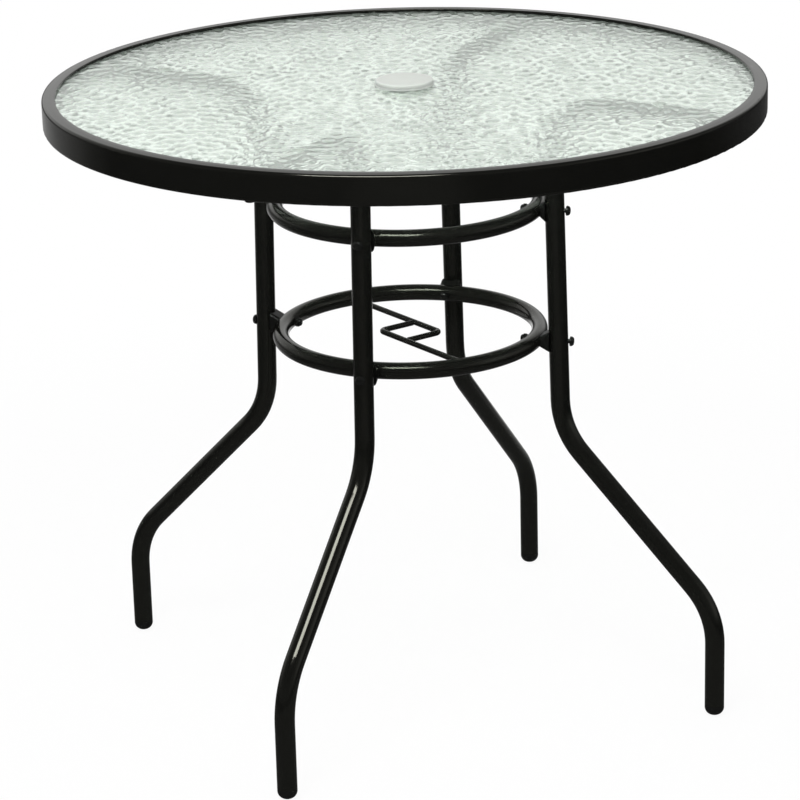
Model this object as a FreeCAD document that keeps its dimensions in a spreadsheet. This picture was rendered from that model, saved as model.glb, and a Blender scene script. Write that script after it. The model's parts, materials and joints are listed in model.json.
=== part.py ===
import FreeCAD, Part
import math
import os
import Sketcher
from FreeCAD import Placement, Rotation, Vector

# A round patio table with an umbrella hole. Millimetres, +Z up.
# The origin is on the floor under the centre of the top. The right leg stands on +X,
# the back leg on +Y, the left leg on -X and the front leg on -Y.

# Driving dimensions. Angles are in degrees.
DIMENSIONS = (
    # top: a rolled steel hoop that is closed round the glass
    ("table_height", 708.0),
    ("rim_radius", 400.0),
    ("rim_depth", 33.0),
    ("rim_wall", 1.5),
    ("lip_width", 15.0),
    ("lip_thickness", 2.4),
    ("lip_crest_inset", 10.5),
    ("lip_outer_drop", 0.8),
    ("lip_inner_drop", 0.2),
    ("lip_crest_radius", 30.0),
    ("rim_corner_radius", 3.2),
    ("lip_edge_radius", 0.8),
    ("flange_width", 16.0),
    # glass and the soft channel round its edge
    ("glass_thickness", 5.0),
    ("gasket_wall", 0.8),
    ("gasket_grip", 7.0),
    ("glass_edge_gap", 2.2),
    ("glass_arris", 0.5),
    # umbrella hole: collar in the glass, cap in the collar
    ("pole_bore_radius", 20.0),
    ("collar_wall", 3.2),
    ("collar_flange_radius", 33.0),
    ("collar_flange_thickness", 1.6),
    ("collar_depth", 22.0),
    ("collar_seat_depth", 8.0),
    ("collar_seat_wall", 1.0),
    ("collar_hole_clearance", 0.3),
    ("cap_radius", 32.0),
    ("cap_edge_thickness", 4.6),
    ("cap_edge_radius", 1.6),
    ("cap_thickness", 6.2),
    ("cap_flat_radius", 17.0),
    ("cap_crown_radius", 18.0),
    ("cap_skirt_depth", 7.0),
    ("cap_skirt_wall", 1.5),
    ("cap_clearance", 0.3),
    # legs: one bent tube each, flattened at the end that bolts to the rim
    ("leg_tube_radius", 11.0),
    ("leg_tube_wall", 1.2),
    ("leg_axis_radius", 168.0),
    ("leg_plane_angle", -11.8),
    ("top_bend_radius", 65.0),
    ("knee_height", 315.0),
    ("knee_offset", 8.0),
    ("knee_bend_radius", 88.0),
    ("ankle_height", 124.0),
    ("ankle_offset", 198.0),
    ("ankle_bend_radius", 92.0),
    ("leg_tab_thickness", 3.0),
    ("leg_tab_half_width", 15.5),
    ("leg_tab_corner", 8.0),
    ("leg_tab_length", 27.0),
    ("leg_squash_length", 20.0),
    ("rim_bolt_inset", 9.5),
    ("leg_tab_overhang", 6.5),
    # foot caps
    ("foot_cap_height", 12.0),
    ("foot_dome_radius", 9.0),
    ("foot_plug_length", 16.0),
    ("foot_plug_clearance", 0.2),
    # clear pads that carry the glass on the arms
    ("pad_radius", 7.0),
    ("pad_thickness", 1.0),
    ("pad_skirt", 1.4),
    ("pad_clearance", 0.02),
    ("pad_offset", 128.0),
    # rings that tie the legs together
    ("ring_tube_radius", 9.4),
    ("ring_tube_wall", 1.2),
    ("lower_ring_height", 419.5),
    ("lower_ring_gap", 6.3),
    ("upper_ring_height", 570.5),
    ("upper_ring_gap", 1.6),
    # saddles between ring and leg
    ("saddle_leg_height", 24.0),
    ("saddle_ring_height", 12.0),
    ("saddle_width", 24.0),
    ("saddle_round", 4.5),
    ("saddle_wrap", 2.5),
    ("saddle_clearance", 0.1),
    # round-headed bolts and their nuts: the right leg's bolts stand out on their shanks
    ("bolt_radius", 2.5),
    ("bolt_hole_clearance", 0.25),
    ("bolt_head_radius", 5.5),
    ("bolt_head_height", 4.0),
    ("bolt_head_round", 3.0),
    ("bolt_head_gap", 0.3),
    ("loose_head_gap", 2.6),
    ("nut_corner_radius", 5.6),
    ("nut_height", 3.6),
    ("nut_seat_gap", 0.25),
    ("nut_dome_radius", 4.5),
    ("nut_dome_height", 3.8),
    ("nut_dome_round", 3.0),
    ("nut_grip", 5.6),
    ("thread_clearance", 0.05),
    ("rim_bolt_head_height", 2.6),
    ("rim_bolt_head_round", 1.6),
    ("rim_bolt_end", 1.2),
    # two bent rods that steady the umbrella pole in the lower ring
    ("rod_radius", 3.2),
    ("rod_bend_radius", 7.0),
    ("pole_square_half", 24.4),
    ("rod_drop", 1.6),
    ("rod_angle", 143.2),
    ("weld_gap", 0.1),
)

# Sizes worked out from the driving dimensions, as formulas of the sheet.
DERIVED = (
    ("rim_base_height", "table_height - rim_depth"),
    ("rim_inner_radius", "rim_radius - rim_wall"),
    ("lip_inner_radius", "rim_radius - lip_width"),
    ("glass_top", "table_height - lip_thickness - gasket_wall"),
    ("glass_base", "glass_top - glass_thickness"),
    ("glass_radius", "rim_inner_radius - gasket_wall - glass_edge_gap"),
    ("glass_hole_radius", "pole_bore_radius + collar_wall + collar_hole_clearance"),
    ("collar_top", "glass_top + collar_flange_thickness"),
    ("collar_seat_radius", "pole_bore_radius + collar_wall - collar_seat_wall"),
    ("leg_arm_height", "glass_base - pad_thickness - leg_tube_radius"),
    ("flange_top", "rim_base_height + rim_wall"),
    ("flange_inner_radius", "rim_radius - flange_width"),
    ("rim_bolt_radius", "rim_radius - rim_bolt_inset"),
    ("leg_axis_reach", "leg_axis_radius * cos(leg_plane_angle)"),
    ("leg_bolt_offset",
     "sqrt(leg_axis_reach ^ 2 - leg_axis_radius ^ 2 + rim_bolt_radius ^ 2) - leg_axis_reach"),
    ("leg_tab_end", "leg_bolt_offset + leg_tab_overhang"),
    ("leg_tab_start", "leg_tab_end - leg_tab_length"),
    ("leg_tube_end", "leg_tab_start - leg_squash_length"),
    ("leg_slope", "knee_offset / (leg_arm_height - knee_height)"),
    ("lower_offset", "leg_slope * (leg_arm_height - lower_ring_height)"),
    ("upper_offset", "leg_slope * (leg_arm_height - upper_ring_height)"),
    ("lower_leg_x", "leg_axis_radius + lower_offset * cos(leg_plane_angle)"),
    ("lower_leg_y", "lower_offset * sin(leg_plane_angle)"),
    ("upper_leg_x", "leg_axis_radius + upper_offset * cos(leg_plane_angle)"),
    ("upper_leg_y", "upper_offset * sin(leg_plane_angle)"),
    ("lower_ring_radius", "lower_leg_x - leg_tube_radius - lower_ring_gap - ring_tube_radius"),
    ("upper_ring_radius", "upper_leg_x - leg_tube_radius - upper_ring_gap - ring_tube_radius"),
    ("foot_x", "leg_axis_radius + ankle_offset * cos(leg_plane_angle)"),
    ("foot_y", "ankle_offset * sin(leg_plane_angle)"),
    ("pad_x", "leg_axis_radius + pad_offset * cos(leg_plane_angle)"),
    ("pad_y", "pad_offset * sin(leg_plane_angle)"),
    ("rim_bolt_x", "leg_axis_radius + leg_bolt_offset * cos(leg_plane_angle)"),
    ("rim_bolt_y", "leg_bolt_offset * sin(leg_plane_angle)"),
    ("bolt_hole_radius", "bolt_radius + bolt_hole_clearance"),
    # rounds that give way where the wall they lie on is short
    ("lip_edge_round", "min(lip_edge_radius; 0.8 * (lip_thickness - lip_inner_drop))"),
    ("lip_crest_round", "min(lip_crest_radius; 7 * (lip_width - lip_crest_inset))"),
    ("foot_round", "min(foot_dome_radius; 0.85 * leg_tube_radius)"),
    ("saddle_flare", "(saddle_leg_height - saddle_ring_height) / 2"),
    ("lower_saddle_length", "lower_ring_gap + 2 * saddle_wrap"),
    ("upper_saddle_length", "upper_ring_gap + 2 * saddle_wrap"),
    ("lower_saddle_lean", "atan(saddle_flare / lower_saddle_length)"),
    ("upper_saddle_lean", "atan(saddle_flare / upper_saddle_length)"),
    ("lower_saddle_round", "min(saddle_round; 0.45 * saddle_ring_height * cos(lower_saddle_lean))"),
    ("upper_saddle_round", "min(saddle_round; 0.45 * saddle_ring_height * cos(upper_saddle_lean))"),
)

SIDES = ("right", "back", "left", "front")
QUARTERS = ((1, 0), (0, 1), (-1, 0), (0, -1))
Z_AXIS = Vector(0, 0, 1)
Y_AXIS = Vector(0, 1, 0)

doc = FreeCAD.newDocument("umbrella_table")
sheet = doc.addObject("Spreadsheet::Sheet", "Dimensions")
nodes = []


def fill_sheet():
    """Write each name and value, or formula, on a row of its own."""
    row = 1
    for name, entry in DIMENSIONS + DERIVED:
        sheet.set("A%d" % row, name)
        if isinstance(entry, str):
            sheet.set("B%d" % row, "=" + entry)
        else:
            sheet.set("B%d" % row, str(entry))
        sheet.setAlias("B%d" % row, name)
        row += 1
    doc.recompute()


def bind(text):
    """Turn bare dimension names in a formula into references to the sheet."""
    names = {name for name, entry in DIMENSIONS + DERIVED}
    word = ""
    out = ""
    for letter in text + " ":
        if letter.isalnum() or letter == "_":
            word += letter
            continue
        out += "Dimensions." + word if word in names else word
        out += letter
        word = ""
    return out.strip()


def value(text):
    """The number that a formula of dimension names gives."""
    result = sheet.evalExpression(bind(text))
    return float(getattr(result, "Value", result))


def keep(obj, label):
    """Name a finished sub-part and put it on the list to be written."""
    obj.Label = label
    nodes.append(obj)
    return obj


def place(obj, x, y, z, quarter=0, rotation=Rotation()):
    """Put an object at formulas x, y, z, and turn all of it by quarter turns about the table."""
    cosine, sine = QUARTERS[quarter]
    turned = Rotation(Z_AXIS, 90.0 * quarter) * rotation
    obj.Placement = Placement(Vector(0, 0, 0), turned)
    obj.setExpression("Placement.Base.x", bind("%d * (%s) - %d * (%s)" % (cosine, x, sine, y)))
    obj.setExpression("Placement.Base.y", bind("%d * (%s) + %d * (%s)" % (sine, x, cosine, y)))
    obj.setExpression("Placement.Base.z", bind(z))
    return obj


def primitive(kind, name, **sizes):
    """A Part primitive whose sizes are formulas."""
    obj = doc.addObject("Part::" + kind, name)
    for size, text in sizes.items():
        obj.setExpression(size, bind(text))
    return obj


def cut(base, tool, name):
    """The base with the tool taken away."""
    obj = doc.addObject("Part::Cut", name)
    obj.Base = base
    obj.Tool = tool
    return obj


def group(parts, name):
    """Several separate solids in one object."""
    obj = doc.addObject("Part::Compound", name)
    obj.Links = parts
    return obj


def plane_of(body, role):
    """One of a body's own origin planes."""
    return [plane for plane in body.Origin.OriginFeatures if plane.Role == role][0]


def sketch_on(body, name, role, offset=None):
    """A sketch on an origin plane of its body, moved along the plane's normal by a formula."""
    sketch = body.newObject("Sketcher::SketchObject", name)
    sketch.AttachmentSupport = (plane_of(body, role), [""])
    sketch.MapMode = "FlatFace"
    if offset:
        sketch.setExpression("AttachmentOffset.Base.z", bind(offset))
    return sketch


def hold(sketch, kind, text, *places):
    """A constraint of a sketch whose size is a formula."""
    index = sketch.addConstraint(Sketcher.Constraint(kind, *places, value(text)))
    sketch.setExpression("Constraints[%d]" % index, bind(text))


def pin(sketch, geometry, end, x, y):
    """Hold a point of a sketch at the formulas x and y from the sketch's origin."""
    hold(sketch, "DistanceX", x, -1, 1, geometry, end)
    hold(sketch, "DistanceY", y, -1, 1, geometry, end)


def join_ends(sketch, first, second):
    """Close the end of one line onto the start of the next."""
    sketch.addConstraint(Sketcher.Constraint("Coincident", first, 2, second, 1))


def draw_outline(sketch, points):
    """A closed outline of straight lines whose corners are pairs of formulas."""
    places = [Vector(value(x), value(y), 0) for x, y in points]
    count = len(points)
    for index in range(count):
        line = Part.LineSegment(places[index], places[(index + 1) % count])
        sketch.addGeometry(line, False)
    for index in range(count):
        join_ends(sketch, index, (index + 1) % count)
        pin(sketch, index, 1, *points[index])


def draw_circle(sketch, x, y, radius):
    """A circle with its centre and radius held by formulas."""
    circle = Part.Circle(Vector(value(x), value(y), 0), Z_AXIS, value(radius))
    index = sketch.addGeometry(circle, False)
    pin(sketch, index, 3, x, y)
    hold(sketch, "Radius", radius, index)


def draw_slot(sketch, y, half_width, half_height):
    """A flat slot shape across the sketch's Y axis, with round ends."""
    height = value(y)
    radius = value(half_height)
    reach = value(half_width) - radius
    right = Part.Circle(Vector(reach, height, 0), Z_AXIS, radius)
    left = Part.Circle(Vector(-reach, height, 0), Z_AXIS, radius)
    top = (Vector(reach, height + radius, 0), Vector(-reach, height + radius, 0))
    bottom = (Vector(-reach, height - radius, 0), Vector(reach, height - radius, 0))
    quarter_turn = math.pi / 2
    sketch.addGeometry(Part.ArcOfCircle(right, -quarter_turn, quarter_turn), False)
    sketch.addGeometry(Part.LineSegment(*top), False)
    sketch.addGeometry(Part.ArcOfCircle(left, quarter_turn, 3 * quarter_turn), False)
    sketch.addGeometry(Part.LineSegment(*bottom), False)
    for index in range(4):
        sketch.addConstraint(Sketcher.Constraint("Tangent", index, 2, (index + 1) % 4, 1))
    pin(sketch, 0, 3, "%s - %s" % (half_width, half_height), y)
    pin(sketch, 2, 3, "%s - %s" % (half_height, half_width), y)
    hold(sketch, "Radius", half_height, 0)
    hold(sketch, "Radius", half_height, 2)


def bent_path(points, radii):
    """Straight runs and the tangent arcs that round the corners between them."""
    runs = []
    arcs = []
    start = points[0]
    for index, radius in enumerate(radii, 1):
        before = (points[index - 1] - points[index]).normalize()
        after = (points[index + 1] - points[index]).normalize()
        half_angle = before.getAngle(after) / 2
        reach = radius / math.tan(half_angle)
        centre = points[index] + (before + after).normalize() * (radius / math.sin(half_angle))
        arc_start = points[index] + before * reach
        arc_end = points[index] + after * reach
        middle = centre + (points[index] - centre).normalize() * radius
        runs.append((start, arc_start))
        arcs.append((arc_start, middle, arc_end))
        start = arc_end
    runs.append((start, points[-1]))
    return runs, arcs


def draw_path(sketch, points, radii):
    """An open path of straight runs and tangent arcs: corners and radii are formulas."""
    corners = [Vector(value(x), value(y), 0) for x, y in points]
    runs, arcs = bent_path(corners, [value(radius) for radius in radii])
    for index, (start, end) in enumerate(runs):
        sketch.addGeometry(Part.LineSegment(start, end), False)
        if index < len(arcs):
            sketch.addGeometry(Part.Arc(*arcs[index]), False)
    last = 2 * len(arcs)
    pin(sketch, 0, 1, *points[0])
    pin(sketch, last, 2, *points[-1])
    for index, radius in enumerate(radii, 1):
        arc = 2 * index - 1
        corner = sketch.addGeometry(Part.Point(corners[index]), True)
        pin(sketch, corner, 1, *points[index])
        for line in (arc - 1, arc + 1):
            sketch.addConstraint(Sketcher.Constraint("PointOnObject", corner, 1, line))
        touch_run(sketch, arc, arc - 1, 2)
        touch_run(sketch, arc, arc + 1, 1)
        hold(sketch, "Radius", radius, arc)


def touch_run(sketch, arc, line, line_end):
    """Join an arc to a run, tangent, at whichever end of the arc lies there."""
    meeting = sketch.getPoint(line, line_end)
    nearest = min((1, 2), key=lambda end: sketch.getPoint(arc, end).distanceToPoint(meeting))
    sketch.addConstraint(Sketcher.Constraint("Tangent", arc, nearest, line, line_end))


def new_body(name):
    return doc.addObject("PartDesign::Body", name)


def round_edges(body, rounds):
    """Round the circular edges that lie at a radius and height, each with its own radius."""
    doc.recompute()
    for radius, height, fillet in rounds:
        base = body.Tip
        found = []
        for index, edge in enumerate(base.Shape.Edges, 1):
            circle = edge.Curve
            if not isinstance(circle, Part.Circle):
                continue
            same_radius = abs(circle.Radius - value(radius)) < 1e-4
            if same_radius and abs(circle.Center.z - value(height)) < 1e-4:
                found.append("Edge%d" % index)
        rounding = body.newObject("PartDesign::Fillet", body.Name + "_round")
        rounding.Base = (base, found)
        rounding.setExpression("Radius", bind(fillet))
        doc.recompute()


def turned(name, outline, rounds=()):
    """A round piece: a half section of (radius, height) corners turned about the Z axis."""
    body = new_body(name)
    sketch = sketch_on(body, name + "_section", "XZ_Plane")
    draw_outline(sketch, outline)
    turning = body.newObject("PartDesign::Revolution", name + "_turning")
    turning.Profile = sketch
    turning.ReferenceAxis = (sketch, ["V_Axis"])
    turning.Angle = 360.0
    sketch.Visibility = False
    round_edges(body, rounds)
    return body


def piped(name, path_plane, points, radii, section_plane, section):
    """A body whose section, drawn by the section function, follows a bent path."""
    body = new_body(name)
    path = sketch_on(body, name + "_path", path_plane)
    draw_path(path, points, radii)
    profile = sketch_on(body, name + "_tube", section_plane[0], section_plane[1])
    section(profile)
    pipe = body.newObject("PartDesign::AdditivePipe", name + "_pipe")
    pipe.Profile = profile
    pipe.Spine = path
    doc.recompute()
    return body


def rim_drill(name, quarter):
    """A drill through the rim's flange and the arm's tab that is bolted to it."""
    drill = primitive("Cylinder", name, Radius="bolt_hole_radius",
                      Height="3 * rim_wall + 2 * leg_tab_thickness")
    return place(drill, "rim_bolt_x", "rim_bolt_y", "rim_base_height - rim_wall", quarter)


def top_rim():
    """The hoop: outer wall, lip that falls away outwards, flat flange drilled for the arms."""
    hoop = turned(
        "rim_hoop",
        (
            ("flange_inner_radius", "rim_base_height"),
            ("rim_radius", "rim_base_height"),
            ("rim_radius", "table_height - lip_outer_drop"),
            ("rim_radius - lip_crest_inset", "table_height"),
            ("lip_inner_radius", "table_height - lip_inner_drop"),
            ("lip_inner_radius", "table_height - lip_thickness"),
            ("rim_inner_radius", "table_height - lip_thickness"),
            ("rim_inner_radius", "flange_top"),
            ("flange_inner_radius", "flange_top"),
        ),
        (
            ("rim_radius - lip_crest_inset", "table_height", "lip_crest_round"),
            ("rim_radius", "table_height - lip_outer_drop", "rim_corner_radius"),
            ("rim_radius", "rim_base_height", "rim_corner_radius"),
            ("lip_inner_radius", "table_height - lip_inner_drop", "lip_edge_round"),
        ),
    )
    drills = [rim_drill("rim_drill_" + SIDES[quarter], quarter) for quarter in range(4)]
    keep(cut(hoop, group(drills, "rim_drills"), "top_rim"), "top_rim")


def glass_top():
    """The tempered glass disc with its umbrella hole and ground arrises."""
    glass = turned(
        "glass_top",
        (
            ("glass_hole_radius", "glass_base"),
            ("glass_radius - glass_arris", "glass_base"),
            ("glass_radius", "glass_base + glass_arris"),
            ("glass_radius", "glass_top - glass_arris"),
            ("glass_radius - glass_arris", "glass_top"),
            ("glass_hole_radius", "glass_top"),
        ),
    )
    keep(glass, "glass_top")


def glass_gasket():
    """The soft channel that wraps the edge of the glass, hidden under the lip."""
    gasket = turned(
        "glass_gasket",
        (
            ("glass_radius - gasket_grip", "glass_base - gasket_wall"),
            ("glass_radius + gasket_wall", "glass_base - gasket_wall"),
            ("glass_radius + gasket_wall", "glass_top + gasket_wall"),
            ("glass_radius - gasket_grip", "glass_top + gasket_wall"),
            ("glass_radius - gasket_grip", "glass_top"),
            ("glass_radius", "glass_top"),
            ("glass_radius", "glass_base"),
            ("glass_radius - gasket_grip", "glass_base"),
        ),
    )
    keep(gasket, "glass_gasket")


def umbrella_collar():
    """The flanged sleeve in the glass: a wider seat above for the cap, the pole bore below."""
    collar = turned(
        "umbrella_collar",
        (
            ("pole_bore_radius", "glass_top - collar_depth"),
            ("pole_bore_radius + collar_wall", "glass_top - collar_depth"),
            ("pole_bore_radius + collar_wall", "glass_top"),
            ("collar_flange_radius", "glass_top"),
            ("collar_flange_radius", "collar_top"),
            ("collar_seat_radius", "collar_top"),
            ("collar_seat_radius", "collar_top - collar_seat_depth"),
            ("pole_bore_radius", "collar_top - collar_seat_depth"),
        ),
        (("collar_flange_radius", "collar_top", "collar_flange_thickness / 2"),),
    )
    keep(collar, "umbrella_collar")


def umbrella_hole_cap():
    """The lift-out cap: a thick, slightly crowned disc with a skirt that drops into the collar."""
    skirt = "collar_seat_radius - cap_clearance"
    cap = turned(
        "umbrella_hole_cap",
        (
            (skirt + " - cap_skirt_wall", "collar_top - cap_skirt_depth"),
            (skirt, "collar_top - cap_skirt_depth"),
            (skirt, "collar_top"),
            ("cap_radius", "collar_top"),
            ("cap_radius", "collar_top + cap_edge_thickness"),
            ("cap_flat_radius", "collar_top + cap_thickness"),
            ("0", "collar_top + cap_thickness"),
            ("0", "collar_top"),
            (skirt + " - cap_skirt_wall", "collar_top"),
        ),
        (
            ("cap_flat_radius", "collar_top + cap_thickness", "cap_crown_radius"),
            ("cap_radius", "collar_top + cap_edge_thickness", "cap_edge_radius"),
        ),
    )
    keep(cap, "umbrella_hole_cap")


def leg_tube(side):
    """The bent tube of one leg in its own plane: X outwards from the leg's axis, Z up."""
    corners = (
        ("ankle_offset", "foot_cap_height"),
        ("ankle_offset", "ankle_height"),
        ("knee_offset", "knee_height"),
        ("0", "leg_arm_height"),
        ("leg_tube_end", "leg_arm_height"),
    )
    radii = ("ankle_bend_radius", "knee_bend_radius", "top_bend_radius")

    def ring_section(sketch):
        draw_circle(sketch, "ankle_offset", "0", "leg_tube_radius")
        draw_circle(sketch, "ankle_offset", "0", "leg_tube_radius - leg_tube_wall")

    name = "leg_tube_" + side
    return piped(name, "XZ_Plane", corners, radii, ("XY_Plane", "foot_cap_height"), ring_section)


def squashed_end(body, side):
    """The stretch of the arm that is pressed from round to flat, and the tab beyond it."""
    start = sketch_on(body, "round_end_" + side, "YZ_Plane", "leg_tube_end")
    draw_circle(start, "0", "leg_arm_height", "leg_tube_radius")
    finish = sketch_on(body, "flat_end_" + side, "YZ_Plane", "leg_tab_start")
    middle = "flange_top + leg_tab_thickness / 2"
    draw_slot(finish, middle, "leg_tab_half_width", "leg_tab_thickness / 2")
    loft = body.newObject("PartDesign::AdditiveLoft", "squash_" + side)
    loft.Profile = start
    loft.Sections = [finish]
    doc.recompute()
    outline = sketch_on(body, "tab_outline_" + side, "XY_Plane", "flange_top")
    draw_outline(
        outline,
        (
            ("leg_tab_start", "-leg_tab_half_width"),
            ("leg_tab_end - leg_tab_corner", "-leg_tab_half_width"),
            ("leg_tab_end", "leg_tab_corner - leg_tab_half_width"),
            ("leg_tab_end", "leg_tab_half_width - leg_tab_corner"),
            ("leg_tab_end - leg_tab_corner", "leg_tab_half_width"),
            ("leg_tab_start", "leg_tab_half_width"),
        ),
    )
    tab = body.newObject("PartDesign::Pad", "tab_" + side)
    tab.Profile = outline
    tab.setExpression("Length", bind("leg_tab_thickness"))
    doc.recompute()


def ring_bolt_hole(name, level, quarter):
    """A drill along a ring bolt, through ring, saddle and leg."""
    start = level + "_ring_radius - 2 * ring_tube_radius"
    drill = primitive("Cylinder", name, Radius="bolt_hole_radius",
                      Height="%s_leg_x + 2 * leg_tube_radius - (%s)" % (level, start))
    turn = Rotation(Y_AXIS, 90)
    return place(drill, start, level + "_leg_y", level + "_ring_height", quarter, turn)


def leg(quarter):
    """One leg, turned into its plane, with its three bolt holes."""
    side = SIDES[quarter]
    body = leg_tube(side)
    squashed_end(body, side)
    turn = Rotation(Z_AXIS, value("leg_plane_angle"))
    place(body, "leg_axis_radius", "0", "0", quarter, turn)
    drills = [
        ring_bolt_hole("leg_lower_drill_" + side, "lower", quarter),
        ring_bolt_hole("leg_upper_drill_" + side, "upper", quarter),
        rim_drill("leg_tab_drill_" + side, quarter),
    ]
    keep(cut(body, group(drills, "leg_drills_" + side), "leg_" + side), "leg_" + side)


def foot_cap(quarter):
    """The domed plastic end of a leg, with the plug that is pushed into the tube."""
    side = SIDES[quarter]
    plug = "leg_tube_radius - leg_tube_wall - foot_plug_clearance"
    cap = turned(
        "foot_cap_" + side,
        (
            ("0", "0"),
            ("leg_tube_radius", "0"),
            ("leg_tube_radius", "foot_cap_height"),
            (plug, "foot_cap_height"),
            (plug, "foot_cap_height + foot_plug_length"),
            ("0", "foot_cap_height + foot_plug_length"),
        ),
        (("leg_tube_radius", "0", "foot_round"),),
    )
    place(cap, "foot_x", "foot_y", "0", quarter)
    keep(cap, "foot_cap_" + side)


def arm_cylinder(name, clearance, quarter):
    """The straight part of an arm as a plain cylinder, for seats that fit over it."""
    tool = primitive("Cylinder", name, Radius="leg_tube_radius + " + clearance, Height="leg_tube_end")
    turn = Rotation(Z_AXIS, value("leg_plane_angle")) * Rotation(Y_AXIS, 90)
    return place(tool, "leg_axis_radius", "0", "leg_arm_height", quarter, turn)


def glass_pad(quarter):
    """A clear bumper that sits astride an arm and carries the glass."""
    side = SIDES[quarter]
    disc = primitive("Cylinder", "pad_disc_" + side, Radius="pad_radius",
                     Height="pad_thickness + pad_skirt")
    place(disc, "pad_x", "pad_y", "glass_base - pad_thickness - pad_skirt", quarter)
    arm = arm_cylinder("pad_arm_" + side, "pad_clearance", quarter)
    keep(cut(disc, arm, "glass_pad_" + side), "glass_pad_" + side)


def ring_torus(name, level, tube_radius):
    """A torus on a ring's centre circle, its seam midway between two legs."""
    torus = primitive("Torus", name, Radius1=level + "_ring_radius", Radius2=tube_radius)
    return place(torus, "0", "0", level + "_ring_height", 0, Rotation(Z_AXIS, 45))


def tube_ring(level):
    """A ring of round tube with four bolt holes."""
    outer = ring_torus(level + "_ring_outside", level, "ring_tube_radius")
    inner = ring_torus(level + "_ring_inside", level, "ring_tube_radius - ring_tube_wall")
    tube = cut(outer, inner, level + "_ring_tube")
    drills = [ring_bolt_hole("%s_ring_drill_%s" % (level, SIDES[quarter]), level, quarter)
              for quarter in range(4)]
    ring = cut(tube, group(drills, level + "_ring_drills"), level + "_ring")
    keep(ring, level + "_ring")


def saddle_block(name, level):
    """The outside of a saddle in its own frame: X from the ring towards the leg, flaring upright."""
    body = new_body(name)
    inner = level + "_ring_radius + ring_tube_radius - saddle_wrap"
    outer = inner + " + %s_saddle_length" % level
    flare = sketch_on(body, name + "_flare", "XZ_Plane")
    draw_outline(
        flare,
        (
            (inner, "-saddle_ring_height / 2"),
            (outer, "-saddle_leg_height / 2"),
            (outer, "saddle_leg_height / 2"),
            (inner, "saddle_ring_height / 2"),
        ),
    )
    pad = body.newObject("PartDesign::Pad", name + "_pad")
    pad.Profile = flare
    pad.Midplane = True
    pad.setExpression("Length", bind("saddle_width"))
    doc.recompute()
    rounding = body.newObject("PartDesign::Fillet", name + "_round")
    rounding.Base = (pad, flaring_edges(pad.Shape))
    rounding.setExpression("Radius", bind(level + "_saddle_round"))
    doc.recompute()
    return body


def flaring_edges(shape):
    """The long slanting edges of a saddle: they run along X and slope along Z."""
    found = []
    for index, edge in enumerate(shape.Edges, 1):
        box = edge.BoundBox
        if box.XLength > 1 and box.ZLength > 0.1 and box.YLength < 1e-4:
            found.append("Edge%d" % index)
    return found


def leg_cylinder(name, level, quarter):
    """The leg where a saddle meets it, as a plain leaning cylinder with the saddle's clearance."""
    tool = primitive("Cylinder", name, Radius="leg_tube_radius + saddle_clearance",
                     Height="2 * saddle_leg_height")
    lean = math.degrees(math.atan(value("leg_slope")))
    turn = Rotation(Z_AXIS, value("leg_plane_angle")) * Rotation(Y_AXIS, -lean)
    drop = turn.multVec(Vector(0, 0, value("saddle_leg_height")))
    return place(
        tool,
        "%s_leg_x - %.6f" % (level, drop.x),
        "%s_leg_y - %.6f" % (level, drop.y),
        "%s_ring_height - %.6f" % (level, drop.z),
        quarter,
        turn,
    )


def saddle(level, quarter):
    """The spacer between ring and leg, hollowed to sit on both tubes."""
    name = "%s_saddle_%s" % (level, SIDES[quarter])
    block = saddle_block(name + "_block", level)
    place(block, "0", level + "_leg_y", level + "_ring_height", quarter)
    ring_seat = ring_torus(name + "_ring_seat", level, "ring_tube_radius + saddle_clearance")
    leg_seat = leg_cylinder(name + "_leg_seat", level, quarter)
    hollowed = cut(cut(block, ring_seat, name + "_on_ring"), leg_seat, name + "_on_leg")
    keep(cut(hollowed, ring_bolt_hole(name + "_drill", level, quarter), name), name)


def dome_head(name, length, head_height, head_round):
    """A round-headed bolt along +Z: the head's underside is at zero, the shank hangs below."""
    return turned(
        name,
        (
            ("0", "-(%s)" % length),
            ("bolt_radius", "-(%s)" % length),
            ("bolt_radius", "0"),
            ("bolt_head_radius", "0"),
            ("bolt_head_radius", head_height),
            ("0", head_height),
        ),
        (("bolt_head_radius", head_height, head_round),),
    )


def ring_bolts(level):
    """The four bolts that hold a ring to the legs, heads outside."""
    nut_x = level + "_ring_radius - ring_tube_radius - nut_seat_gap"
    bolts = []
    for quarter in range(4):
        name = "%s_ring_bolt_%s" % (level, SIDES[quarter])
        gap = "loose_head_gap" if SIDES[quarter] == "right" else "bolt_head_gap"
        head_x = "%s_leg_x + leg_tube_radius + %s" % (level, gap)
        length = "(%s) - (%s) + nut_grip" % (head_x, nut_x)
        bolt = dome_head(name, length, "bolt_head_height", "bolt_head_round")
        place(bolt, head_x, level + "_leg_y", level + "_ring_height", quarter, Rotation(Y_AXIS, 90))
        bolts.append(bolt)
    keep(group(bolts, level + "_ring_bolts"), level + "_ring_bolts")


def cap_nut(name, bore):
    """A six-sided nut with a domed end, along +Z from its seat."""
    prism = primitive("Prism", name + "_flats", Circumradius="nut_corner_radius", Height="nut_height")
    prism.Polygon = 6
    dome = turned(
        name + "_dome",
        (
            ("0", "0"),
            ("nut_dome_radius", "0"),
            ("nut_dome_radius", "nut_height + nut_dome_height"),
            ("0", "nut_height + nut_dome_height"),
        ),
        (("nut_dome_radius", "nut_height + nut_dome_height", "nut_dome_round"),),
    )
    whole = doc.addObject("Part::Fuse", name + "_whole")
    whole.Base = prism
    whole.Tool = dome
    drill = primitive("Cylinder", name + "_bore", Radius="bolt_radius + thread_clearance", Height=bore)
    return cut(whole, drill, name)


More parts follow.
